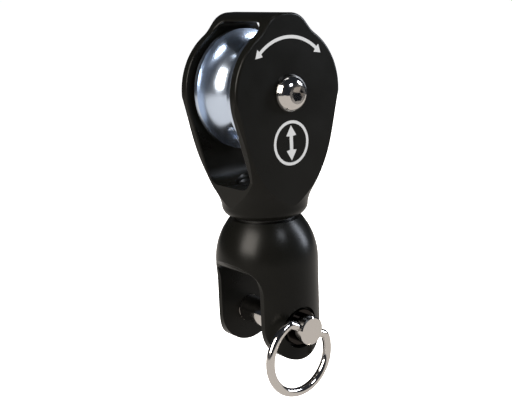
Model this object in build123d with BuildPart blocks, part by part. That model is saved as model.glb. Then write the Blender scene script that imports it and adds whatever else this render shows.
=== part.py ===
# Single sheave block with a swivelling clevis jaw and a quick-release pin.
# Frame: origin on the clevis pin's axis, midway between the jaw's ears.
# +Y runs along the pin and the sheave's axle, from the near cheek to the far one.
# +Z runs up from the jaw to the sheave. Millimetres, real size.
import math
import os

from build123d import *

# ---- driving dimensions, mm --------------------------------------------------
axle_height = 90.0          # pin axis to sheave axle

# housing: two cheeks, a bridge over the sheave and a round collar below
body_thickness = 34.0       # across the cheeks
slot_width = 26.2           # between the cheeks
cheek_radius = 25.0         # round of the cheeks about the axle
cheek_taper = 16.1          # degrees, sides of the cheeks below the axle
waist_half = 16.9           # half width of the cheeks at the collar
bump_top = 29.0             # top of the bridge above the axle
bump_flat = 1.7             # half width of the bridge's flat top
bump_radius = 9.5
bump_slope = 50.0           # degrees, flanks of the bridge
bump_blend = 13.0
window_top = 25.8           # above the axle
window_floor = 35.0         # below the axle
window_top_radius = 4.0
window_floor_radius = 6.0
collar_bottom = 48.0        # below the axle
edge_round = 1.0
slot_round = 0.6

# sheave and its bearings
sheave_radius = 23.0
sheave_width = 22.2
rim_land = 2.1              # flat land at each side of the groove
groove_root = 14.7
bearing_bore = 12.0
bearing_outside = 24.0
bearing_width = 6.0
bearing_gap = 4.0           # between the two bearings
bearing_ball = 3.5
bearing_ball_count = 11
clip_thickness = 0.9
clip_depth = 0.8

# axle
axle_diameter = 12.0
axle_thread = 8.0
head_diameter = 14.0
head_height = 4.4
head_socket = 5.0           # across the flats
screw_length = 12.0
fit_gap = 0.05              # radial clearance of running and assembly fits

# swivel
pocket_radius = 11.0
pocket_depth = 8.5
race_thickness = 1.0
race_radius = 10.8
race_bore = 5.6
thrust_ball = 2.5
thrust_ball_count = 12
thrust_pitch = 8.2
bolt_diameter = 10.0
bolt_head_radius = 10.0
bush_radius = 6.5
swivel_gap = 1.0
gap_washer_radius = 12.0

# jaw
jaw_radius = 20.2
dome_radius = 26.4
dome_top_radius = 14.0
dome_start = 24.0           # height above the pin where the dome begins
jaw_slot = 24.6
jaw_roof = 22.8             # roof of the slot above the pin
jaw_roof_radius = 3.0
flat_half = 14.0            # half width across the milled flats
flat_blend = 14.0
flat_top = 14.3             # height above the pin where the flats end
ear_radius = 14.0
ear_rise = 1.0              # centre of the ears' round above the pin
ear_round = 0.5
seat_radius = 8.2           # recess around the pin in each ear
seat_plane = 17.4           # its floor from the middle
bolt_seat_wall = 3.2        # jaw between the locking screw's head and the bolt's end
lock_radius = 2.5
lock_head_radius = 4.2
lock_head = 3.0
lock_length = 9.0

# clevis pin and pull ring
pin_diameter = 11.0
pin_near = 25.8             # near end from the middle
pin_far = 24.5
pin_flange = 7.2
pin_flange_thickness = 2.1
ring_plane = 23.0           # ring's wire from the middle
wire_diameter = 3.4
ring_radius = 14.35         # centreline
ring_drop = 10.6            # chord to centre of the ring
ring_corner = 2.6
ring_turn = 25.5            # degrees the pin stands turned about its axis
detent_ball_diameter = 3.5
detent_position = 20.7
spring_wire = 0.45
spring_radius = 1.2
spring_turns = 5

os.makedirs("parts", exist_ok=True)

half_body = body_thickness / 2
half_slot = slot_width / 2
floor_z = axle_height - window_floor
bottom_z = axle_height - collar_bottom
pocket_floor = floor_z - pocket_depth


def polar(cx, cz, r, degrees):
    """Point on a circle, angle from +X towards +Z."""
    a = math.radians(degrees)
    return (cx + r * math.cos(a), cz + r * math.sin(a))


# ---- housing ------------------------------------------------------------------
# Cheek outline about the axle: bridge flank, blend, round, taper, waist.
at_axle = Plane(origin=(0, 0, axle_height), x_dir=(1, 0, 0), z_dir=(0, -1, 0))
slope = math.radians(bump_slope)
bump_cz = bump_top - bump_radius
p_top = (bump_flat, bump_top)
p_mid = polar(bump_flat, bump_cz, bump_radius, 90 - bump_slope / 2)
p_flank = polar(bump_flat, bump_cz, bump_radius, 90 - bump_slope)
# the blend's centre lies off the flank line and outside the cheek's round
normal = (math.sin(slope), math.cos(slope))
along = (math.cos(slope), -math.sin(slope))
off = (p_flank[0] + bump_blend * normal[0], p_flank[1] + bump_blend * normal[1])
reach = cheek_radius + bump_blend
half_b = off[0] * along[0] + off[1] * along[1]
under = half_b ** 2 - (off[0] ** 2 + off[1] ** 2 - reach ** 2)
step = -half_b - math.sqrt(under)
if step < 0:
    step = -half_b + math.sqrt(under)
blend_c = (off[0] + step * along[0], off[1] + step * along[1])
p_blend = (blend_c[0] - bump_blend * normal[0], blend_c[1] - bump_blend * normal[1])
blend_angle = math.degrees(math.atan2(blend_c[1], blend_c[0]))
p_round = polar(0, 0, cheek_radius, blend_angle)
turn_1 = math.degrees(math.atan2(-normal[1], -normal[0])) % 360
turn_2 = (blend_angle + 180) % 360
p_blend_mid = polar(blend_c[0], blend_c[1], bump_blend, (turn_1 + turn_2) / 2)
p_side = polar(0, 0, cheek_radius, -cheek_taper)
p_round_mid = polar(0, 0, cheek_radius, (blend_angle - cheek_taper) / 2)
waist_drop = (p_side[0] - waist_half) / math.tan(math.radians(cheek_taper))
p_waist = (waist_half, p_side[1] - waist_drop)
p_base = (waist_half, -collar_bottom - 2)

with BuildPart() as housing:
    with BuildSketch(at_axle) as cheek_outline:
        with BuildLine() as outline:
            Line((0, bump_top), p_top)
            ThreePointArc(p_top, p_mid, p_flank)
            Line(p_flank, p_blend)
            ThreePointArc(p_blend, p_blend_mid, p_round)
            ThreePointArc(p_round, p_round_mid, p_side)
            Line(p_side, p_waist)
            Line(p_waist, p_base)
            Line(p_base, (0, p_base[1]))
            Line((0, p_base[1]), (0, bump_top))
        make_face()
        mirror(about=Plane.YZ)
    extrude(amount=half_body, both=True)
    faces_out = housing.faces().filter_by(Axis.Y)
    fillet(faces_out.edges(), edge_round)
    # turned outside: lower edge, collar, blend and the flare below the cheeks
    with BuildSketch(at_axle) as turned:
        with BuildLine() as turning:
            Line((0, -collar_bottom), (12.4, -collar_bottom))
            ThreePointArc((12.4, -collar_bottom), (15.51, -46.71), (16.8, -43.6))
            Spline([(16.8, -43.6), (17.15, -41.8), (17.9, -39.8), (19.7, -36.4)])
            Spline([(19.7, -36.4), (23.0, -29.3), (25.3, -22.4), (27.0, -15.0), (30.1, 0.0)])
            Polyline((30.1, 0.0), (42.0, 34.0), (0, 34.0), (0, -collar_bottom))
        make_face()
    revolve(axis=Axis.Z, mode=Mode.INTERSECT)
    # rope slot right through
    with BuildSketch(Plane.YZ) as window:
        with Locations((0, axle_height + (window_top - window_floor) / 2)):
            Rectangle(slot_width, window_top + window_floor)
        fillet(window.vertices().sort_by(Axis.Y)[:2], window_floor_radius)
        fillet(window.vertices().sort_by(Axis.Y)[-2:], window_top_radius)
    extrude(amount=cheek_radius + 10, both=True, mode=Mode.SUBTRACT)
    # soft edge where the slot runs out of the cheeks
    slot_edges = housing.edges().filter_by(
        lambda e: abs(abs((e @ 0.5).Y) - half_slot) < 0.02 and e.length > 20)
    fillet(slot_edges.filter_by(lambda e: abs((e @ 0.5).X) > 5), slot_round)
    # axle bores
    with Locations(Location((0, 0, axle_height), (90, 0, 0))):
        Cylinder(axle_diameter / 2 + fit_gap, body_thickness + 4, mode=Mode.SUBTRACT)
    # pocket for the thrust bearing and the bore of the swivel bush
    with Locations((0, 0, pocket_floor)):
        Cylinder(pocket_radius, pocket_depth + 6, mode=Mode.SUBTRACT,
                 align=(Align.CENTER, Align.CENTER, Align.MIN))
    with Locations((0, 0, bottom_z - 1)):
        Cylinder(bush_radius + 0.02, 8, mode=Mode.SUBTRACT,
                 align=(Align.CENTER, Align.CENTER, Align.MIN))
housing.part.label = "housing"
export_step(housing.part, "parts/housing.step")

# ---- sheave -------------------------------------------------------------------
half_sheave = sheave_width / 2
lip_y = half_sheave - rim_land
groove_depth = sheave_radius - groove_root
groove_radius = (lip_y ** 2 + groove_depth ** 2) / (2 * groove_depth)
groove_cz = groove_root + groove_radius
seat = bearing_outside / 2
seat_end = bearing_gap / 2 + bearing_width
rib = seat - 1.0
clip_end = seat_end + clip_thickness + 0.1
about_axle = Axis((0, 0, axle_height), (0, 1, 0))
# sketch plane through the axle: local x along +Y, local y upwards
side_plane = Plane(origin=(0, 0, axle_height), x_dir=(0, 1, 0), z_dir=(1, 0, 0))

with BuildPart() as sheave:
    with BuildSketch(side_plane) as sheave_section:
        with BuildLine() as section:
            Line((0, rib), (bearing_gap / 2, rib))
            Line((bearing_gap / 2, rib), (bearing_gap / 2, seat))
            Line((bearing_gap / 2, seat), (seat_end, seat))
            Line((seat_end, seat), (seat_end, seat + clip_depth))
            Line((seat_end, seat + clip_depth), (clip_end, seat + clip_depth))
            Line((clip_end, seat + clip_depth), (clip_end, seat))
            Line((clip_end, seat), (half_sheave - 0.3, seat))
            Line((half_sheave - 0.3, seat), (half_sheave, seat + 0.3))
            Line((half_sheave, seat + 0.3), (half_sheave, sheave_radius - 0.3))
            Line((half_sheave, sheave_radius - 0.3), (half_sheave - 0.3, sheave_radius))
            Line((half_sheave - 0.3, sheave_radius), (lip_y, sheave_radius))
            ThreePointArc((lip_y, sheave_radius),
                          polar(0, groove_cz, groove_radius, -50), (0, groove_root))
            Line((0, groove_root), (0, rib))
        make_face()
        mirror(about=Plane.YZ)
    revolve(axis=about_axle)
sheave.part.label = "sheave"
export_step(sheave.part, "parts/sheave.step")

# ---- two bearings side by side -------------------------------------------------
pitch_r = (bearing_bore + bearing_outside) / 4
ball_r = bearing_ball / 2
track_r = ball_r + fit_gap
inner_land = pitch_r - 1.25
outer_land = pitch_r + 1.25
half_bearing = bearing_width / 2
along_y = (90, 0, 0)

for name, side in (("near", -1), ("far", 1)):
    mid_y = side * (bearing_gap / 2 + half_bearing)
    centre = (0, mid_y, axle_height)
    with BuildPart() as outer_ring:
        with Locations(Location(centre, along_y)):
            Cylinder(seat - 0.01, bearing_width - 0.02)
            Cylinder(outer_land, bearing_width + 1, mode=Mode.SUBTRACT)
            Torus(pitch_r, track_r, mode=Mode.SUBTRACT)
    outer_ring.part.label = "bearing_" + name + "_outer_ring"
    export_step(outer_ring.part, "parts/bearing_" + name + "_outer_ring.step")

    with BuildPart() as inner_ring:
        with Locations(Location(centre, along_y)):
            Cylinder(inner_land, bearing_width - 0.02)
            Cylinder(bearing_bore / 2 + 0.02, bearing_width + 1, mode=Mode.SUBTRACT)
            Torus(pitch_r, track_r, mode=Mode.SUBTRACT)
    inner_ring.part.label = "bearing_" + name + "_inner_ring"
    export_step(inner_ring.part, "parts/bearing_" + name + "_inner_ring.step")

    with BuildPart() as balls:
        with Locations(Location(centre, along_y)):
            with PolarLocations(pitch_r, bearing_ball_count):
                Sphere(ball_r)
    balls.part.label = "bearing_" + name + "_balls"
    export_step(balls.part, "parts/bearing_" + name + "_balls.step")

    with BuildPart() as cage:
        with Locations(Location(centre, along_y)):
            Cylinder(pitch_r + 0.45, 4.4)
            Cylinder(pitch_r - 0.45, 6, mode=Mode.SUBTRACT)
            with PolarLocations(pitch_r, bearing_ball_count):
                Cylinder(ball_r + 0.1, 4, rotation=(0, 90, 0), mode=Mode.SUBTRACT)
    cage.part.label = "bearing_" + name + "_cage"
    export_step(cage.part, "parts/bearing_" + name + "_cage.step")

    with BuildPart() as seal:
        with Locations(Location((0, mid_y + side * 2.65, axle_height), along_y)):
            Cylinder(outer_land - 0.02, 0.5)
            Cylinder(inner_land + 0.1, 2, mode=Mode.SUBTRACT)
    seal.part.label = "bearing_" + name + "_seal"
    export_step(seal.part, "parts/bearing_" + name + "_seal.step")

    # retaining clip in the groove of the sheave's bore, open at the bottom
    clip_y = side * (seat_end + clip_thickness / 2 + 0.05)
    with BuildPart() as clip:
        with Locations(Location((0, clip_y, axle_height), along_y)):
            Cylinder(seat + clip_depth - 0.1, clip_thickness)
            Cylinder(seat - 1.1, clip_thickness + 1, mode=Mode.SUBTRACT)
        with Locations((0, clip_y, axle_height - seat)):
            Box(7, clip_thickness + 1, 6, mode=Mode.SUBTRACT)
    clip.part.label = "retaining_clip_" + name
    export_step(clip.part, "parts/retaining_clip_" + name + ".step")

    # spacer between the cheek and the bearing's inner ring
    spacer_from = seat_end
    spacer_length = half_slot - spacer_from - 0.02
    with BuildPart() as spacer:
        with Locations(Location((0, side * (spacer_from + spacer_length / 2 + 0.01),
                                 axle_height), along_y)):
            Cylinder(inner_land - 0.1, spacer_length)
            Cylinder(axle_diameter / 2 + 0.02, spacer_length + 1, mode=Mode.SUBTRACT)
    spacer.part.label = "spacer_" + name
    export_step(spacer.part, "parts/spacer_" + name + ".step")

    # button-head screw into the end of the axle sleeve
    out = (0, side, 0)
    face_plane = Plane(origin=(0, side * half_body, axle_height), x_dir=(1, 0, 0), z_dir=out)
    head_r = head_diameter / 2
    with BuildPart() as screw:
        with BuildSketch(Plane(origin=(0, side * half_body, axle_height), x_dir=(1, 0, 0),
                               z_dir=(0, 0, side))) as head_section:
            with BuildLine() as head_line:
                Line((0, 0), (head_r - 0.2, 0))
                Line((head_r - 0.2, 0), (head_r, 0.25))
                Line((head_r, 0.25), (head_r, 0.7))
                ThreePointArc((head_r, 0.7), (5.75, 3.0), (3.7, head_height))
                Line((3.7, head_height), (0, head_height))
                Line((0, head_height), (0, 0))
            make_face()
        revolve(axis=about_axle)
        with BuildSketch(face_plane.offset(head_height)) as socket:
            RegularPolygon(head_socket / 2, 6, major_radius=False)
        extrude(amount=-2.8, mode=Mode.SUBTRACT)
        with BuildSketch(face_plane) as shank:
            Circle(axle_thread / 2)
        extrude(amount=-screw_length)
    screw.part.label = "axle_screw_" + name
    export_step(screw.part, "parts/axle_screw_" + name + ".step")

with BuildPart() as bearing_spacer:
    with Locations(Location((0, 0, axle_height), along_y)):
        Cylinder(inner_land - 0.1, bearing_gap - 0.02)
        Cylinder(axle_diameter / 2 + 0.02, bearing_gap + 1, mode=Mode.SUBTRACT)
bearing_spacer.part.label = "bearing_spacer"
export_step(bearing_spacer.part, "parts/bearing_spacer.step")

with BuildPart() as axle_sleeve:
    with Locations(Location((0, 0, axle_height), along_y)):
        Cylinder(axle_diameter / 2, body_thickness - 0.4)
        Cylinder(axle_thread / 2 + 0.02, body_thickness + 4, mode=Mode.SUBTRACT)
axle_sleeve.part.label = "axle_sleeve"
export_step(axle_sleeve.part, "parts/axle_sleeve.step")

# ---- swivel -------------------------------------------------------------------
up = (Align.CENTER, Align.CENTER, Align.MIN)
race_1 = pocket_floor
ball_z = race_1 + race_thickness + thrust_ball / 2
race_2 = race_1 + race_thickness + thrust_ball
head_z = race_2 + race_thickness
bolt_hole_floor = jaw_roof + lock_head + bolt_seat_wall
jaw_top = bottom_z - swivel_gap

for name, level in (("lower", race_1), ("upper", race_2)):
    with BuildPart() as race:
        with Locations((0, 0, level + 0.01)):
            Cylinder(race_radius, race_thickness - 0.02, align=up)
            Cylinder(race_bore, race_thickness, align=up, mode=Mode.SUBTRACT)
    race.part.label = "thrust_race_" + name
    export_step(race.part, "parts/thrust_race_" + name + ".step")

with BuildPart() as thrust_balls:
    with Locations((0, 0, ball_z)):
        with PolarLocations(thrust_pitch, thrust_ball_count):
            Sphere(thrust_ball / 2 - 0.01)
thrust_balls.part.label = "thrust_balls"
export_step(thrust_balls.part, "parts/thrust_balls.step")

with BuildPart() as thrust_cage:
    with Locations((0, 0, ball_z)):
        Cylinder(thrust_pitch + 2.1, 1.3)
        Cylinder(thrust_pitch - 2.1, 3, mode=Mode.SUBTRACT)
        with PolarLocations(thrust_pitch, thrust_ball_count):
            Sphere(thrust_ball / 2 + 0.07, mode=Mode.SUBTRACT)
thrust_cage.part.label = "thrust_cage"
export_step(thrust_cage.part, "parts/thrust_cage.step")

with BuildPart() as swivel_bolt:
    with Locations((0, 0, head_z + 0.01)):
        Cylinder(bolt_head_radius, floor_z - head_z - 0.2, align=up)
    fillet(swivel_bolt.edges().sort_by(Axis.Z)[-1], 0.8)
    with BuildSketch(Plane.XY.offset(floor_z - 0.19)) as bolt_socket:
        RegularPolygon(4, 6, major_radius=False)
    extrude(amount=-2.6, mode=Mode.SUBTRACT)
    with Locations((0, 0, bolt_hole_floor + 0.4)):
        Cylinder(bolt_diameter / 2, head_z + 0.2 - bolt_hole_floor - 0.4, align=up)
    chamfer(swivel_bolt.edges().sort_by(Axis.Z)[0], 0.8)
    with Locations((0, 0, bolt_hole_floor)):
        Cylinder(lock_radius + 0.02, lock_length, align=up, mode=Mode.SUBTRACT)
swivel_bolt.part.label = "swivel_bolt"
export_step(swivel_bolt.part, "parts/swivel_bolt.step")

with BuildPart() as swivel_bush:
    with Locations((0, 0, bottom_z)):
        Cylinder(bush_radius, pocket_floor - bottom_z - 0.1, align=up)
        Cylinder(bolt_diameter / 2 + fit_gap, 8, align=up, mode=Mode.SUBTRACT)
swivel_bush.part.label = "swivel_bush"
export_step(swivel_bush.part, "parts/swivel_bush.step")

with BuildPart() as gap_washer:
    with Locations((0, 0, jaw_top + 0.03)):
        Cylinder(gap_washer_radius, swivel_gap - 0.06, align=up)
        Cylinder(bolt_diameter / 2 + 0.2, swivel_gap, align=up, mode=Mode.SUBTRACT)
gap_washer.part.label = "gap_washer"
export_step(gap_washer.part, "parts/gap_washer.step")

# ---- jaw ----------------------------------------------------------------------
half_jaw_slot = jaw_slot / 2
dome_cx = jaw_radius - dome_radius
dome_low = (jaw_radius, dome_start)
dome_top_z = dome_start + math.sqrt(dome_radius ** 2 - (dome_top_radius - dome_cx) ** 2)
dome_high = (dome_top_radius, dome_top_z)
dome_half = math.degrees(math.asin((dome_top_z - dome_start) / dome_radius)) / 2
dome_mid = polar(dome_cx, dome_start, dome_radius, dome_half)
blend_out = flat_half + flat_blend

with BuildPart() as jaw:
    with BuildSketch(Plane.XZ) as jaw_section:
        with BuildLine() as jaw_line:
            Line((0, -20), (jaw_radius, -20))
            Line((jaw_radius, -20), dome_low)
            ThreePointArc(dome_low, dome_mid, dome_high)
            Line(dome_high, (dome_top_radius - 0.4, jaw_top))
            Line((dome_top_radius - 0.4, jaw_top), (0, jaw_top))
            Line((0, jaw_top), (0, -20))
        make_face()
    revolve(axis=Axis.Z)
    # side outline: round ears, milled flats and their sweep into the barrel
    with BuildSketch(Plane.XZ) as ear_outline:
        with BuildLine() as ears:
            ThreePointArc((0, ear_rise - ear_radius),
                          polar(0, ear_rise, ear_radius, -45),
                          (ear_radius, ear_rise))
            Line((flat_half, ear_rise), (flat_half, flat_top))
            ThreePointArc((flat_half, flat_top),
                          polar(blend_out, flat_top, flat_blend, 155),
                          polar(blend_out, flat_top, flat_blend, 115))
            Line(polar(blend_out, flat_top, flat_blend, 115), (30, 60))
            Line((30, 60), (0, 60))
            Line((0, 60), (0, ear_rise - ear_radius))
        make_face()
        mirror(about=Plane.YZ)
    extrude(amount=jaw_radius + 10, both=True, mode=Mode.INTERSECT)
    # soft edge where the milled outline meets the turned outside
    low_edges = jaw.edges().filter_by(lambda e: e.bounding_box().max.Z < dome_start + 3)
    rim_edges = low_edges.filter_by(
        lambda e: e.geom_type != GeomType.CIRCLE and e.bounding_box().size.Z > 0.01)
    rim_edges = rim_edges.filter_by(lambda e: abs((e @ 0.5).Y) > 0.1 or e.length > 3)
    fillet(rim_edges, ear_round)
    # slot for the load
    with BuildSketch(Plane.YZ) as slot_section:
        with Locations((0, (jaw_roof - 30) / 2)):
            Rectangle(jaw_slot, jaw_roof + 30)
        fillet(slot_section.vertices().sort_by(Axis.Y)[-2:], jaw_roof_radius)
    extrude(amount=jaw_radius + 10, both=True, mode=Mode.SUBTRACT)
    # pin holes and the recess around the pin in each ear
    with Locations(Location((0, 0, 0), along_y)):
        Cylinder(pin_diameter / 2 + fit_gap, 60, mode=Mode.SUBTRACT)
    for side in (-1, 1):
        with Locations(Location((0, side * (seat_plane + 5), 0), along_y)):
            Cylinder(seat_radius, 10, mode=Mode.SUBTRACT)
    # bolt hole from above and the stepped hole of its locking screw from the slot
    with Locations((0, 0, bolt_hole_floor)):
        Cylinder(bolt_diameter / 2 + 0.02, jaw_top - bolt_hole_floor + 5, align=up,
                 mode=Mode.SUBTRACT)
    with Locations((0, 0, jaw_roof - 2)):
        Cylinder(lock_radius + 0.1, lock_head + bolt_seat_wall + 3, align=up,
                 mode=Mode.SUBTRACT)
        Cylinder(lock_head_radius + 0.3, 2 + lock_head, align=up, mode=Mode.SUBTRACT)
jaw.part.label = "jaw"
export_step(jaw.part, "parts/jaw.step")

with BuildPart() as locking_screw:
    with Locations((0, 0, jaw_roof + 0.1)):
        Cylinder(lock_head_radius, lock_head - 0.12, align=up)
    chamfer(locking_screw.edges().sort_by(Axis.Z)[0], 0.3)
    with Locations((0, 0, jaw_roof + lock_head - 0.1)):
        Cylinder(lock_radius, lock_length, align=up)
    with BuildSketch(Plane.XY.offset(jaw_roof)) as lock_socket:
        RegularPolygon(1.5, 6, major_radius=False)
    extrude(amount=1.9, mode=Mode.SUBTRACT)
locking_screw.part.label = "locking_screw"
export_step(locking_screw.part, "parts/locking_screw.step")

# ---- clevis pin, its detent and the pull ring -------------------------------------
turn = math.radians(ring_turn)
chord = (math.cos(turn), 0, -math.sin(turn))
pin_r = pin_diameter / 2

with BuildPart() as clevis_pin:
    with BuildSketch(Plane.XY) as pin_section:
        with BuildLine() as pin_line:
            Polyline((0, -pin_near), (pin_r - 0.5, -pin_near), (pin_r, -pin_near + 0.5),
                     (pin_r, -seat_plane - pin_flange_thickness - 0.05),
                     (pin_flange - 0.3, -seat_plane - pin_flange_thickness - 0.05),
                     (pin_flange, -seat_plane - pin_flange_thickness + 0.25),
                     (pin_flange, -seat_plane - 0.05), (pin_r, -seat_plane - 0.05),
                     (pin_r, pin_far - 1.5), (pin_r - 1.5, pin_far), (0, pin_far),
                     (0, -pin_near))
        make_face()
    revolve(axis=Axis.Y)
    # narrow grooves where the shank enters each ear
    for side in (-1, 1):
        with BuildSketch(Plane.XZ.offset(-side * (jaw_slot / 2 + 0.05) - 0.3)):
            Circle(pin_r + 1)
            Circle(pin_r - 0.3, mode=Mode.SUBTRACT)
        extrude(amount=0.6, mode=Mode.SUBTRACT)
    # cross hole for the ring
    with BuildSketch(Plane(origin=(0, -ring_plane, 0), x_dir=(0, 1, 0), z_dir=chord)) as eye:
        Circle(wire_diameter / 2 + 0.08)
    extrude(amount=10, both=True, mode=Mode.SUBTRACT)
    # blind hole of the detent ball
    with Locations((0, detent_position, -3.6)):
        Cylinder(detent_ball_diameter / 2 + fit_gap, 12, align=up, mode=Mode.SUBTRACT)
clevis_pin.part.label = "clevis_pin"
export_step(clevis_pin.part, "parts/clevis_pin.step")

with BuildPart() as detent_ball:
    with Locations((0, detent_position, pin_r - detent_ball_diameter / 2)):
        Sphere(detent_ball_diameter / 2)
detent_ball.part.label = "detent_ball"
export_step(detent_ball.part, "parts/detent_ball.step")

spring_low = -3.6 + spring_wire / 2 + 0.05
spring_high = pin_r - detent_ball_diameter - spring_wire / 2 + 0.15
spring_length = spring_high - spring_low
with BuildPart() as detent_spring:
    with BuildLine(Plane.XY.offset(spring_low)) as coil:
        Helix(spring_length / spring_turns, spring_length, spring_radius)
    start = Plane(origin=coil.line @ 0, z_dir=coil.line % 0)
    with BuildSketch(start) as coil_section:
        Circle(spring_wire / 2)
    sweep(path=coil.line, is_frenet=True)
detent_spring.part = detent_spring.part.moved(Location((0, detent_position, 0)))
detent_spring.part.label = "detent_spring"
export_step(detent_spring.part, "parts/detent_spring.step")

# ring: a straight bar through the pin, closed by a round bow
ring_frame = Plane(origin=(0, -ring_plane, 0), x_dir=chord, z_dir=(0, -1, 0))
corner_x = math.sqrt((ring_radius - ring_corner) ** 2 - (ring_drop - ring_corner) ** 2)
scale_out = ring_radius / (ring_radius - ring_corner)
bow_x = corner_x * scale_out
bow_y = -ring_drop + (ring_drop - ring_corner) * scale_out
corner_a = math.degrees(math.atan2(ring_drop - ring_corner, corner_x))
corner_mid = polar(corner_x, -ring_corner, ring_corner, (90 + corner_a) / 2)
with BuildPart() as pull_ring:
    with BuildLine(ring_frame) as wire:
        Line((-corner_x, 0), (corner_x, 0))
        ThreePointArc((corner_x, 0), corner_mid, (bow_x, bow_y))
        ThreePointArc((bow_x, bow_y), (0, -ring_drop - ring_radius), (-bow_x, bow_y))
        ThreePointArc((-bow_x, bow_y), (-corner_mid[0], corner_mid[1]), (-corner_x, 0))
    with BuildSketch(Plane(origin=(0, -ring_plane, 0), x_dir=(0, 1, 0), z_dir=chord)) as wire_end:
        Circle(wire_diameter / 2)
    sweep(path=wire.line)
pull_ring.part.label = "pull_ring"
export_step(pull_ring.part, "parts/pull_ring.step")
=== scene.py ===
"""Single sheave block: finishes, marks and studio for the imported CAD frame.

Everything is in metres and radians. The clevis pin's axis is the origin, +Y runs
along the sheave axle and +Z from the jaw up to the sheave.
"""
import math

import bpy
from mathutils import Matrix, Vector


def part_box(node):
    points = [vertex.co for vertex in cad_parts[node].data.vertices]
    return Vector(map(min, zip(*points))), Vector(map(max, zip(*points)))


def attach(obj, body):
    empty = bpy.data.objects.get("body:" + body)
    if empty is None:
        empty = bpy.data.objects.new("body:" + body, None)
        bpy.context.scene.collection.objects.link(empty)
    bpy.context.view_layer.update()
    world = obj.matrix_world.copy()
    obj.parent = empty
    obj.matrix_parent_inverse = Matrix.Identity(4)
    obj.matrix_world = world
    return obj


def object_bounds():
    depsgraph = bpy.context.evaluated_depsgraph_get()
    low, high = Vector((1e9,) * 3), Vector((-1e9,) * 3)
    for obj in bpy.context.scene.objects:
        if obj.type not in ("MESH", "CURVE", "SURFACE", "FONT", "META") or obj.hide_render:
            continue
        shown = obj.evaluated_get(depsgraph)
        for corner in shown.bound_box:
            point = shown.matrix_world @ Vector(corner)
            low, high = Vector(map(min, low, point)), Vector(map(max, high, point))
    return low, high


bl_info = {
    "name": "Single sheave block",
    "version": (1, 0, 0),
    "blender": (4, 5, 0),
    "location": "3D View > Sidebar > Block",
    "description": "Finishes, marks and studio for a swivelling single sheave block",
    "category": "Object",
}

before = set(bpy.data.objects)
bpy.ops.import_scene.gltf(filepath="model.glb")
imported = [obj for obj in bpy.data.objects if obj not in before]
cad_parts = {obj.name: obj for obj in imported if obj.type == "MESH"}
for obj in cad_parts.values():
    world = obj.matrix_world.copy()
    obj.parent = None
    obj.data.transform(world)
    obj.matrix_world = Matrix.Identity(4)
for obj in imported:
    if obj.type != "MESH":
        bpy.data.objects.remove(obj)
CAD_BOX = [list(corner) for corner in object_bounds()]
MM = 0.001

# ---- places read from the CAD ---------------------------------------------------
SHEAVE_LOW, SHEAVE_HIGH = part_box("sheave")
AXLE_HEIGHT = (SHEAVE_LOW.z + SHEAVE_HIGH.z) / 2
CHEEK_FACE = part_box("housing")[0].y

# ---- node sockets and patterns --------------------------------------------------
MIX_FIRST, MIX_SECOND, MIX_RESULT = 6, 7, 2  # a mix node's colour sockets
WAVE_RATE = 20  # radians that a wave texture turns through per unit of its scale
BUSH_PITCH = 2.5133 * MM

# ---- the clevis pin's part painted dark as painted shade, about and along its axis ---
SHANK_SURFACE = 5.56 * MM
NECK_START = -22.2 * MM
NECK_END = -17.4 * MM

# ---- printed marks --------------------------------------------------------------
INK_LEVEL = CHEEK_FACE - 0.01 * MM
WELD = 0.002 * MM
END_REACH = 0.01 * MM
ARC_STEPS = 40
STRIP_LENGTH = 0.2  # of the line's width, as are the head's flare and length
HEAD_FLARE = 0.15
HEAD_LENGTH = 2.4
HEAD_SPREAD = 3  # times the line's width
RING_CORNERS = 64
RING_WIDTH = 1.1 * MM
SHAFT_WIDTH = 1.6 * MM
SHAFT_REACH = 0.3  # of the ring's outer radius, up and down from its centre

# ---- studio ---------------------------------------------------------------------
LENS = 67.5
SENSOR = 36.0
NEAREST = 0.01
CAMERA_PLACE = (-0.22846, -0.28314, 0.04277 + AXLE_HEIGHT)
CAMERA_HEADING = math.radians(-38.35)
CAMERA_TILT = math.radians(90 - 13.51)
CAMERA_ROLL = math.radians(-2.35)
FLOOR_LEVEL = CAD_BOX[0][2] - 0.035
FLOOR_SIZE = 80
CARD_SIZE = 1.7
CARD_LIFT = 0.004
LIT_POINT = Vector((0, 0, 0.06))
# name, place, width and height, watts, colour
SOFT_BOXES = (
    ("left", (-0.82, -0.1, 0.5), (0.55, 0.62), 19.0, "#f6efe6"),
    ("front_cool", (0.1, -0.8, 0.7), (0.2, 0.2), 3.2, "#e8edf6"),
    ("side_right_cool", (0.7, -0.36, 0.34), (0.18, 0.5), 7.5, "#dfe6f2"),
    ("top", (0.05, 0.1, 0.9), (0.3, 0.3), 0.5, "#ffffff"),
)
SKY_COLOUR = "#6f7682"
SKY_STRENGTH = 0.15


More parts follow.
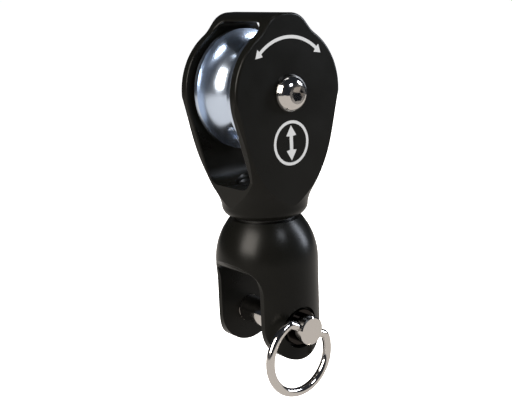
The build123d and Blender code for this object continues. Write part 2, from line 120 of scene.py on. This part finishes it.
class BlockSizes(bpy.types.PropertyGroup):
    """Sizes of the printed marks and of the surface patterns."""

    arc_radius: bpy.props.FloatProperty(
        name="Arc radius", default=20.4 * MM, unit="LENGTH", precision=4,
        description="Middle radius of the turning arrow about the axle")
    arc_width: bpy.props.FloatProperty(
        name="Arc width", default=1.2 * MM, unit="LENGTH", precision=4,
        description="Width of the turning arrow's line")
    arc_start: bpy.props.FloatProperty(
        name="Arc start", default=math.radians(-40), unit="ROTATION",
        description="First end of the arrow's line, from straight up")
    arc_sweep: bpy.props.FloatProperty(
        name="Arc sweep", default=math.radians(80), unit="ROTATION",
        description="Length of the arrow's line")
    emblem_radius: bpy.props.FloatProperty(
        name="Load mark radius", default=8.4 * MM, unit="LENGTH", precision=4,
        description="Outer radius of the load mark's ring")
    emblem_drop: bpy.props.FloatProperty(
        name="Load mark drop", default=18.4 * MM, unit="LENGTH", precision=4,
        description="Distance of the load mark below the axle")
    ink_thickness: bpy.props.FloatProperty(
        name="Ink thickness", default=0.06 * MM, unit="LENGTH", precision=5,
        description="Thickness of the printed ink, a third of it in the cheek")
    blast_grain: bpy.props.FloatProperty(
        name="Blasting grain", default=0.35 * MM, unit="LENGTH", precision=5,
        description="Grain of the blasted surface under the anodising")
    turning_pitch: bpy.props.FloatProperty(
        name="Turning pitch", default=2.8274 * MM, unit="LENGTH", precision=5,
        description="Distance between the sheave's turning marks")


class BlockColours(bpy.types.PropertyGroup):
    """Colours of the finishes, as sRGB hex values."""

    anodised: bpy.props.StringProperty(
        name="Anodised black", default="#0a0a08",
        description="Dyed hard anodising on the housing and the jaw")
    aluminium: bpy.props.StringProperty(
        name="Aluminium", default="#d4e2f6",
        description="Polished aluminium of the sheave")
    stainless: bpy.props.StringProperty(
        name="Stainless steel", default="#c9c6c3",
        description="Polished stainless of the screws, pin and ring")
    bearing: bpy.props.StringProperty(
        name="Bearing steel", default="#b9bbc0",
        description="Ground steel of the races and balls")
    ink: bpy.props.StringProperty(
        name="Ink", default="#c2c2c0",
        description="Pad-printed ink of the marks")
    floor: bpy.props.StringProperty(
        name="Floor", default="#f6f6f6",
        description="Plain floor of the studio")


# ---- helpers for materials ------------------------------------------------------
def linear(value):
    """Linear RGBA of an sRGB hex colour."""
    out = []
    for i in (1, 3, 5):
        c = int(value[i:i + 2], 16) / 255
        out.append(c / 12.92 if c <= 0.04045 else ((c + 0.055) / 1.055) ** 2.4)
    return (*out, 1.0)


def add_node(tree, kind, settings=None, links=None):
    """One node with its settings and the links that come into it."""
    node = tree.nodes.new(kind)
    for key, value in (settings or {}).items():
        if isinstance(key, int) or key in node.inputs:
            node.inputs[key].default_value = value
        else:
            setattr(node, key, value)
    for socket, source in (links or {}).items():
        tree.links.new(source, node.inputs[socket])
    return node


def new_material(name, settings=None):
    """A material with its tree, its surface shader as set, and object coordinates."""
    material = bpy.data.materials.new(name)
    material.use_nodes = True
    tree = material.node_tree
    tree.nodes.clear()
    out = add_node(tree, "ShaderNodeOutputMaterial")
    shader = add_node(tree, "ShaderNodeBsdfPrincipled", settings)
    place = add_node(tree, "ShaderNodeTexCoord")
    tree.links.new(shader.outputs["BSDF"], out.inputs["Surface"])
    return material, tree, shader, place.outputs["Object"]


def two_tone(tree, place, grain, detail, dark, light):
    """A ramp between two colours over cloudy patches of one grain."""
    patches = add_node(tree, "ShaderNodeTexNoise",
                       {"Scale": 1 / grain, "Detail": detail}, {"Vector": place})
    ramp = add_node(tree, "ShaderNodeValToRGB", links={"Fac": patches.outputs["Fac"]})
    ramp.color_ramp.elements[0].color = linear(dark)
    ramp.color_ramp.elements[1].color = linear(light)
    return ramp


def handled_polish(tree, place):
    """Roughness of a mirror polish that fingers have touched."""
    smudge = add_node(tree, "ShaderNodeTexNoise",
                      {"Scale": 1 / (3 * MM), "Detail": 5.0, "Roughness": 0.65},
                      {"Vector": place})
    polish = add_node(tree, "ShaderNodeMapRange",
                      {"From Min": 0.35, "From Max": 0.75, "To Min": 0.07,
                       "To Max": 0.16}, {"Value": smudge.outputs["Fac"]})
    return polish.outputs["Result"]


def dress(material, *nodes):
    """Gives CAD nodes one material."""
    for name in nodes:
        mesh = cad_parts[name].data
        mesh.materials.clear()
        mesh.materials.append(material)


# ---- helpers for pieces ---------------------------------------------------------
def deselect():
    """Leaves edit mode and deselects everything."""
    if bpy.context.object and bpy.context.object.mode != "OBJECT":
        bpy.ops.object.mode_set(mode="OBJECT")
    bpy.ops.object.select_all(action="DESELECT")


def select_only(*pieces):
    """Selects pieces and nothing else, with the first one active."""
    deselect()
    for piece in pieces:
        piece.select_set(True)
    bpy.context.view_layer.objects.active = pieces[0]


def settle(name, *parts):
    """Joins parts into one piece with its place in its mesh."""
    select_only(*parts)
    if len(parts) > 1:
        bpy.ops.object.join()
    bpy.ops.object.transform_apply(location=True, rotation=True, scale=True)
    piece = bpy.context.object
    piece.name = name
    piece.data.name = name
    return piece


def face_out(piece, weld=None):
    """Merges a piece's doubles, where asked, and turns its faces outwards."""
    select_only(piece)
    bpy.ops.object.mode_set(mode="EDIT")
    bpy.ops.mesh.select_all(action="SELECT")
    if weld:
        bpy.ops.mesh.remove_doubles(threshold=weld)
    bpy.ops.mesh.normals_make_consistent(inside=False)
    bpy.ops.object.mode_set(mode="OBJECT")


def print_mark(piece, thickness):
    """Gives a flat piece the ink's thickness and finish, fixed to the housing."""
    face_out(piece, WELD)
    solid = piece.modifiers.new("Ink", "SOLIDIFY")
    solid.thickness = thickness
    solid.offset = 0.0
    bpy.ops.object.modifier_apply(modifier=solid.name)
    face_out(piece)
    piece.data.materials.append(ink_material())
    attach(piece, "housing")


def flat_sheet(place, wide, high):
    """A flat rectangle standing on the cheek, facing -Y."""
    deselect()
    bpy.ops.mesh.primitive_plane_add(size=1, location=place,
                                     rotation=(math.radians(90), 0, 0))
    sheet = bpy.context.object
    sheet.scale = (wide, high, 1)
    bpy.ops.object.transform_apply(location=True, rotation=True, scale=True)
    return sheet


def pick_end(piece, way):
    """Opens a flat piece for editing with its end edge along one way selected."""
    select_only(piece)
    bpy.ops.object.mode_set(mode="EDIT")
    bpy.ops.mesh.select_mode(type="EDGE")
    bpy.ops.mesh.select_all(action="DESELECT")
    bpy.ops.object.mode_set(mode="OBJECT")
    reach = max(corner.co.dot(way) for corner in piece.data.vertices)
    for edge in piece.data.edges:
        ends = [piece.data.vertices[i].co for i in edge.vertices]
        edge.select = all(end.dot(way) > reach - END_REACH for end in ends)
    bpy.ops.object.mode_set(mode="EDIT")


def draw_head(middle, along, width):
    """Draws the selected end edge out into an arrowhead."""
    flare = along * width * HEAD_FLARE
    bpy.ops.mesh.extrude_region_move(TRANSFORM_OT_translate={"value": flare})
    bpy.ops.transform.resize(value=(HEAD_SPREAD, HEAD_SPREAD, HEAD_SPREAD),
                             center_override=middle + flare)
    bpy.ops.mesh.extrude_region_move(
        TRANSFORM_OT_translate={"value": along * width * HEAD_LENGTH})
    bpy.ops.mesh.merge(type="CENTER")


# ---- finishes -------------------------------------------------------------------
class BLOCK_OT_anodised(bpy.types.Operator):
    """Black hard-anodised finish of the housing and the jaw"""

    bl_idname = "block.anodised"
    bl_label = "Anodise housing and jaw"

    def execute(self, context):
        sizes, colours = context.scene.block_sizes, context.scene.block_colours
        # blasted, dyed and sealed aluminium: a soft sheen over a fine even grain,
        # a little smoother where hands and rope rub it; the grain is drawn coarser
        # than blasting leaves it, so that it shows
        material, tree, shader, place = new_material(
            "hard_anodised_aluminium_blasted", {"Specular IOR Level": 0.12})
        grain = add_node(tree, "ShaderNodeTexNoise",
                         {"Scale": 1 / sizes.blast_grain, "Detail": 3.0,
                          "Roughness": 0.6}, {"Vector": place})
        handled = add_node(tree, "ShaderNodeTexNoise",
                           {"Scale": 1 / (14 * MM), "Detail": 4.0}, {"Vector": place})
        sheen = add_node(tree, "ShaderNodeMapRange",
                         {"From Min": 0.3, "From Max": 0.7, "To Min": 0.26,
                          "To Max": 0.33}, {"Value": handled.outputs["Fac"]})
        bump = add_node(tree, "ShaderNodeBump",
                        {"Strength": 0.05, "Distance": 0.03 * MM},
                        {"Height": grain.outputs["Fac"]})
        shade = add_node(tree, "ShaderNodeMapRange",
                         {"From Min": 0.25, "From Max": 0.75, "To Min": 0.0,
                          "To Max": 1.0}, {"Value": handled.outputs["Fac"]})
        tint = add_node(tree, "ShaderNodeMix",
                        {"data_type": "RGBA", MIX_FIRST: linear(colours.anodised),
                         MIX_SECOND: linear("#0f0f0d")},
                        {"Factor": shade.outputs["Result"]})
        tree.links.new(tint.outputs[MIX_RESULT], shader.inputs["Base Color"])
        tree.links.new(sheen.outputs["Result"], shader.inputs["Roughness"])
        tree.links.new(bump.outputs["Normal"], shader.inputs["Normal"])
        dress(material, "housing", "jaw")
        return {"FINISHED"}


class BLOCK_OT_sheave(bpy.types.Operator):
    """Polished aluminium finish of the sheave"""

    bl_idname = "block.sheave"
    bl_label = "Polish sheave"

    def execute(self, context):
        sizes, colours = context.scene.block_sizes, context.scene.block_colours
        # turned, then polished: bright, with faint rings about the axle, drawn
        # further apart than a lathe leaves them, so that they show
        material, tree, shader, place = new_material(
            "aluminium_turned_polished",
            {"Base Color": linear(colours.aluminium), "Metallic": 1.0})
        centre = add_node(tree, "ShaderNodeMapping",
                          {"Location": (0, 0, -AXLE_HEIGHT)}, {"Vector": place})
        rings = add_node(tree, "ShaderNodeTexWave",
                         {"wave_type": "RINGS", "rings_direction": "Y",
                          "Scale": math.tau / (sizes.turning_pitch * WAVE_RATE),
                          "Distortion": 0.6, "Detail": 2.0},
                         {"Vector": centre.outputs["Vector"]})
        worn = add_node(tree, "ShaderNodeTexNoise",
                        {"Scale": 1 / (9 * MM), "Detail": 5.0}, {"Vector": place})
        polish = add_node(tree, "ShaderNodeMapRange",
                          {"From Min": 0.3, "From Max": 0.75, "To Min": 0.19,
                           "To Max": 0.27}, {"Value": worn.outputs["Fac"]})
        bump = add_node(tree, "ShaderNodeBump",
                        {"Strength": 0.03, "Distance": 0.02 * MM},
                        {"Height": rings.outputs["Fac"]})
        tree.links.new(polish.outputs["Result"], shader.inputs["Roughness"])
        tree.links.new(bump.outputs["Normal"], shader.inputs["Normal"])
        dress(material, "sheave")
        return {"FINISHED"}


class BLOCK_OT_stainless(bpy.types.Operator):
    """Polished stainless finish of the screws, the clevis pin and the pull ring"""

    bl_idname = "block.stainless"
    bl_label = "Polish screws, pin and ring"

    def execute(self, context):
        colours = context.scene.block_colours
        # barrel-polished stainless: mirror bright with faint handling smudges
        material, tree, shader, place = new_material(
            "stainless_steel_polished",
            {"Base Color": linear(colours.stainless), "Metallic": 1.0})
        peel = add_node(tree, "ShaderNodeTexNoise",
                        {"Scale": 1 / (1.2 * MM), "Detail": 2.0}, {"Vector": place})
        bump = add_node(tree, "ShaderNodeBump",
                        {"Strength": 0.02, "Distance": 0.05 * MM},
                        {"Height": peel.outputs["Fac"]})
        tree.links.new(handled_polish(tree, place), shader.inputs["Roughness"])
        tree.links.new(bump.outputs["Normal"], shader.inputs["Normal"])
        dress(material, "axle_screw_near", "axle_screw_far", "axle_sleeve",
              "pull_ring", "swivel_bolt", "spacer_near", "spacer_far",
              "bearing_spacer")
        # the pin: the same polish, its flange and neck painted dark brown as painted shade
        pin, tree, shader, place = new_material(
            "stainless_steel_polished_painted_shade_flange", {"Metallic": 1.0})
        split = add_node(tree, "ShaderNodeSeparateXYZ", links={"Vector": place})
        across = add_node(tree, "ShaderNodeCombineXYZ", links={
            "X": split.outputs["X"], "Z": split.outputs["Z"]})
        radius = add_node(tree, "ShaderNodeVectorMath", {"operation": "LENGTH"},
                          {0: across.outputs["Vector"]})
        outside = add_node(tree, "ShaderNodeMath",
                           {"operation": "GREATER_THAN", 1: SHANK_SURFACE},
                           {0: radius.outputs["Value"]})
        past_start = add_node(tree, "ShaderNodeMath",
                              {"operation": "GREATER_THAN", 1: NECK_START},
                              {0: split.outputs["Y"]})
        before_end = add_node(tree, "ShaderNodeMath",
                              {"operation": "LESS_THAN", 1: NECK_END},
                              {0: split.outputs["Y"]})
        neck = add_node(tree, "ShaderNodeMath", {"operation": "MULTIPLY"},
                        {0: past_start.outputs["Value"],
                         1: before_end.outputs["Value"]})
        # painted shade: dark brown on the flange, beyond the shank, and on the neck
        black = add_node(tree, "ShaderNodeMath", {"operation": "MAXIMUM"},
                         {0: outside.outputs["Value"], 1: neck.outputs["Value"]})
        colour = add_node(tree, "ShaderNodeMix",
                          {"data_type": "RGBA",
                           MIX_FIRST: linear(colours.stainless),
                           MIX_SECOND: linear("#2a2725")},
                          {"Factor": black.outputs["Value"]})
        tree.links.new(colour.outputs[MIX_RESULT], shader.inputs["Base Color"])
        tree.links.new(handled_polish(tree, place), shader.inputs["Roughness"])
        dress(pin, "clevis_pin")
        return {"FINISHED"}


class BLOCK_OT_bearings(bpy.types.Operator):
    """Finishes of the bearings, the thrust bearing and the small inner pieces"""

    bl_idname = "block.bearings"
    bl_label = "Finish bearings"

    def execute(self, context):
        colours = context.scene.block_colours
        # ground and lapped steel: cool grey, with a slightly clouded shine
        steel, tree, shader, place = new_material(
            "bearing_steel_ground",
            {"Base Color": linear(colours.bearing), "Metallic": 1.0})
        lay = add_node(tree, "ShaderNodeTexNoise",
                       {"Scale": 1 / (0.5 * MM), "Detail": 3.0}, {"Vector": place})
        ground = add_node(tree, "ShaderNodeMapRange",
                          {"From Min": 0.3, "From Max": 0.7, "To Min": 0.15,
                           "To Max": 0.28}, {"Value": lay.outputs["Fac"]})
        tree.links.new(ground.outputs["Result"], shader.inputs["Roughness"])
        dress(steel, "thrust_balls", "thrust_race_lower", "thrust_race_upper",
              "detent_ball", "bearing_near_outer_ring", "bearing_near_inner_ring",
              "bearing_near_balls", "bearing_far_outer_ring",
              "bearing_far_inner_ring", "bearing_far_balls")
        # spring steel, oil-blackened: dark with a brownish cast, half gloss
        dark, tree, shader, place = new_material(
            "spring_steel_oil_blackened", {"Metallic": 1.0, "Roughness": 0.35})
        oil = two_tone(tree, place, 1.5 * MM, 4.0, "#2b2a2a", "#45403b")
        tree.links.new(oil.outputs["Color"], shader.inputs["Base Color"])
        dress(dark, "retaining_clip_near", "retaining_clip_far", "detent_spring",
              "locking_screw")
        # nitrile rubber, moulded: deep matt black with a slight bloom
        rubber, tree, shader, place = new_material(
            "nitrile_rubber_moulded", {"Roughness": 0.7})
        bloom = two_tone(tree, place, 2 * MM, 3.0, "#131313", "#232323")
        tree.links.new(bloom.outputs["Color"], shader.inputs["Base Color"])
        dress(rubber, "bearing_near_seal", "bearing_far_seal")
        # glass-filled polyamide, moulded: dark grey, faintly mottled
        nylon, tree, shader, place = new_material(
            "polyamide_moulded", {"Roughness": 0.5})
        mottle = two_tone(tree, place, 0.8 * MM, 3.0, "#3a3a3c", "#4a4a4b")
        tree.links.new(mottle.outputs["Color"], shader.inputs["Base Color"])
        dress(nylon, "bearing_near_cage", "bearing_far_cage", "thrust_cage")
        # tin bronze, turned: warm brown-gold with turning lines, drawn further
        # apart than a lathe leaves them
        bronze, tree, shader, place = new_material(
            "tin_bronze_turned", {"Base Color": linear("#b58a4c"), "Metallic": 1.0})
        lines = add_node(tree, "ShaderNodeTexWave",
                         {"bands_direction": "Z",
                          "Scale": math.tau / (BUSH_PITCH * WAVE_RATE)},
                         {"Vector": place})
        cut = add_node(tree, "ShaderNodeMapRange", {"To Min": 0.25, "To Max": 0.4},
                       {"Value": lines.outputs["Fac"]})
        tree.links.new(cut.outputs["Result"], shader.inputs["Roughness"])
        dress(bronze, "swivel_bush")
        # acetal, turned: near black as painted shade in the gap between the collar and the
        # jaw, with a waxy sheen
        acetal, tree, shader, place = new_material(
            "acetal_turned_painted_shade", {"Roughness": 0.4})
        waxy = two_tone(tree, place, 1.0 * MM, 2.0, "#121212", "#1b1b1a")
        tree.links.new(waxy.outputs["Color"], shader.inputs["Base Color"])
        dress(acetal, "gap_washer")
        return {"FINISHED"}


# ---- printed marks --------------------------------------------------------------
def ink_material():
    """Pad-printed ink: flat pale grey, slightly uneven at the grain of the pad."""
    found = bpy.data.materials.get("pad_printing_ink")
    if found:
        return found
    material, tree, shader, place = new_material(
        "pad_printing_ink", {"Roughness": 0.45})
    cover = two_tone(tree, place, 0.25 * MM, 2.0, "#b6b6b4",
                     bpy.context.scene.block_colours.ink)
    cover.color_ramp.elements[0].position = 0.3
    cover.color_ramp.elements[1].position = 0.6
    tree.links.new(cover.outputs["Color"], shader.inputs["Base Color"])
    return material


class BLOCK_OT_turning_arrow(bpy.types.Operator):
    """Printed two-headed arrow above the axle, for the sheave's turning"""

    bl_idname = "block.turning_arrow"
    bl_label = "Print turning arrow"

    def execute(self, context):
        sizes = context.scene.block_sizes
        radius, width, sweep = sizes.arc_radius, sizes.arc_width, sizes.arc_sweep
        # a short strip above the axle, spun about it, with a head at each end
        axle = Vector((0, INK_LEVEL, AXLE_HEIGHT))
        strip = flat_sheet(axle + Vector((0, 0, radius)), width * STRIP_LENGTH, width)
        pick_end(strip, Vector((1, 0, 0)))
        bpy.ops.mesh.spin(steps=ARC_STEPS, angle=sweep, center=axle, axis=(0, -1, 0))
        half_strip = width * STRIP_LENGTH / 2
        along = Vector((math.cos(sweep), 0, -math.sin(sweep)))
        spun = axle + Vector((math.sin(sweep), 0, math.cos(sweep))) * radius
        draw_head(spun + along * half_strip, along, width)
        back = Vector((-1, 0, 0))
        pick_end(strip, back)
        draw_head(axle + Vector((-half_strip, 0, radius)), back, width)
        bpy.ops.object.mode_set(mode="OBJECT")
        # turned about the axle to where the line starts
        about = Matrix.Translation(axle)
        turn = Matrix.Rotation(sizes.arc_start, 4, "Y")
        strip.matrix_world = about @ turn @ about.inverted()
        print_mark(settle("turning_arrow", strip), sizes.ink_thickness)
        return {"FINISHED"}


class BLOCK_OT_load_mark(bpy.types.Operator):
    """Printed ring with a load arrow below the axle"""

    bl_idname = "block.load_mark"
    bl_label = "Print load mark"

    def execute(self, context):
        sizes = context.scene.block_sizes
        outer = sizes.emblem_radius
        centre = Vector((0, INK_LEVEL, AXLE_HEIGHT - sizes.emblem_drop))
        # ring: a disc, inset, with its middle taken out
        deselect()
        bpy.ops.mesh.primitive_circle_add(
            vertices=RING_CORNERS, radius=outer, fill_type="NGON", location=centre,
            rotation=(math.radians(90), 0, 0))
        ring = bpy.context.object
        bpy.ops.object.mode_set(mode="EDIT")
        bpy.ops.mesh.select_all(action="SELECT")
        bpy.ops.mesh.inset(thickness=RING_WIDTH)
        bpy.ops.mesh.delete(type="FACE")
        bpy.ops.object.mode_set(mode="OBJECT")
        # arrow: a shaft with a head drawn at each end, along the load
        half = outer * SHAFT_REACH
        shaft = flat_sheet(centre, SHAFT_WIDTH, half * 2)
        for way in (Vector((0, 0, 1)), Vector((0, 0, -1))):
            pick_end(shaft, way)
            draw_head(centre + way * half, way, SHAFT_WIDTH)
            bpy.ops.object.mode_set(mode="OBJECT")
        print_mark(settle("load_mark", ring, shaft), sizes.ink_thickness)
        return {"FINISHED"}


# ---- studio ---------------------------------------------------------------------
def stand_camera(scene):
    """The camera, at its place with its heading, tilt and roll."""
    data = bpy.data.cameras.new("camera")
    data.lens = LENS
    data.sensor_width = SENSOR
    data.clip_start = NEAREST
    camera = bpy.data.objects.new("camera", data)
    scene.collection.objects.link(camera)
    camera.matrix_world = (
        Matrix.Translation(CAMERA_PLACE) @ Matrix.Rotation(CAMERA_HEADING, 4, "Z")
        @ Matrix.Rotation(CAMERA_TILT, 4, "X") @ Matrix.Rotation(CAMERA_ROLL, 4, "Z"))
    scene.camera = camera


def lay_floor(colour):
    """Plain pale paper, below the ring, that reflections don't show."""
    deselect()
    bpy.ops.mesh.primitive_plane_add(size=FLOOR_SIZE, location=(0, 0, FLOOR_LEVEL))
    floor = bpy.context.object
    floor.name = "studio_floor"
    floor.visible_glossy = False
    material, tree, shader, place = new_material(
        "studio_floor_paper",
        {"Roughness": 0.9, "Specular IOR Level": 0.0,
         "Emission Color": linear("#ffffff"), "Emission Strength": 1.0})
    paper = two_tone(tree, place, 30 * MM, 2.0, "#f2f2f2", colour)
    tree.links.new(paper.outputs["Color"], shader.inputs["Base Color"])
    floor.data.materials.append(material)


def lay_card():
    """Warm grey bounce card under the block, seen in reflections only."""
    deselect()
    bpy.ops.mesh.primitive_plane_add(size=1)
    card = bpy.context.object
    card.name = "studio_card"
    card.scale = (CARD_SIZE, CARD_SIZE, 1)
    card.location = (0, 0, FLOOR_LEVEL + CARD_LIFT)
    card.visible_camera = False
    card.visible_shadow = False
    bpy.ops.object.transform_apply(location=True, rotation=True, scale=True)
    material, tree, shader, place = new_material(
        "studio_card_felt",
        {"Base Color": linear("#101010"), "Roughness": 1.0,
         "Specular IOR Level": 0.0, "Emission Strength": 1.0})
    felt = two_tone(tree, place, 60 * MM, 2.0, "#e3dcd5", "#e9e3dc")
    tree.links.new(felt.outputs["Color"], shader.inputs["Emission Color"])
    card.data.materials.append(material)


def hang_soft_boxes(scene):
    """Soft boxes that face the block and that the camera doesn't see."""
    for name, spot, size, power, colour in SOFT_BOXES:
        light = bpy.data.lights.new(name, "AREA")
        light.shape = "RECTANGLE"
        light.size, light.size_y = size
        light.energy = power
        light.color = linear(colour)[:3]
        lamp = bpy.data.objects.new(name, light)
        scene.collection.objects.link(lamp)
        lamp.location = spot
        facing = (Vector(spot) - LIT_POINT).to_track_quat("Z", "Y")
        lamp.rotation_euler = facing.to_euler()
        lamp.visible_camera = False


class BLOCK_OT_studio(bpy.types.Operator):
    """Camera, floor, bounce card and soft lights"""

    bl_idname = "block.studio"
    bl_label = "Set up studio"

    def execute(self, context):
        scene = context.scene
        stand_camera(scene)
        lay_floor(scene.block_colours.floor)
        lay_card()
        hang_soft_boxes(scene)
        world = bpy.data.worlds.new("studio")
        scene.world = world
        world.use_nodes = True
        sky = world.node_tree.nodes["Background"]
        sky.inputs["Color"].default_value = linear(SKY_COLOUR)
        sky.inputs["Strength"].default_value = SKY_STRENGTH
        scene.view_settings.view_transform = "Standard"
        return {"FINISHED"}


class BLOCK_PT_panel(bpy.types.Panel):
    """Steps that finish the block"""

    bl_idname = "BLOCK_PT_panel"
    bl_label = "Sheave block"
    bl_space_type = "VIEW_3D"
    bl_region_type = "UI"
    bl_category = "Block"

    def draw(self, context):
        layout = self.layout
        for name in STEPS:
            layout.operator("block." + name)
        for group in (context.scene.block_sizes, context.scene.block_colours):
            for key in group.__annotations__:
                layout.prop(group, key)


STEPS = ("studio", "anodised", "sheave", "stainless", "bearings", "turning_arrow",
         "load_mark")
CLASSES = (BlockSizes, BlockColours, BLOCK_OT_studio, BLOCK_OT_anodised,
           BLOCK_OT_sheave, BLOCK_OT_stainless, BLOCK_OT_bearings,
           BLOCK_OT_turning_arrow, BLOCK_OT_load_mark, BLOCK_PT_panel)


def register():
    """Registers the classes and puts their settings on the scene."""
    for cls in CLASSES:
        bpy.utils.register_class(cls)
    bpy.types.Scene.block_sizes = bpy.props.PointerProperty(type=BlockSizes)
    bpy.types.Scene.block_colours = bpy.props.PointerProperty(type=BlockColours)


def unregister():
    """Takes the settings off the scene and the classes out."""
    del bpy.types.Scene.block_colours
    del bpy.types.Scene.block_sizes
    for cls in reversed(CLASSES):
        bpy.utils.unregister_class(cls)


def main():
    """Runs every step in order."""
    register()
    for name in STEPS:
        getattr(bpy.ops.block, name)()


if __name__ == "__main__":
    main()
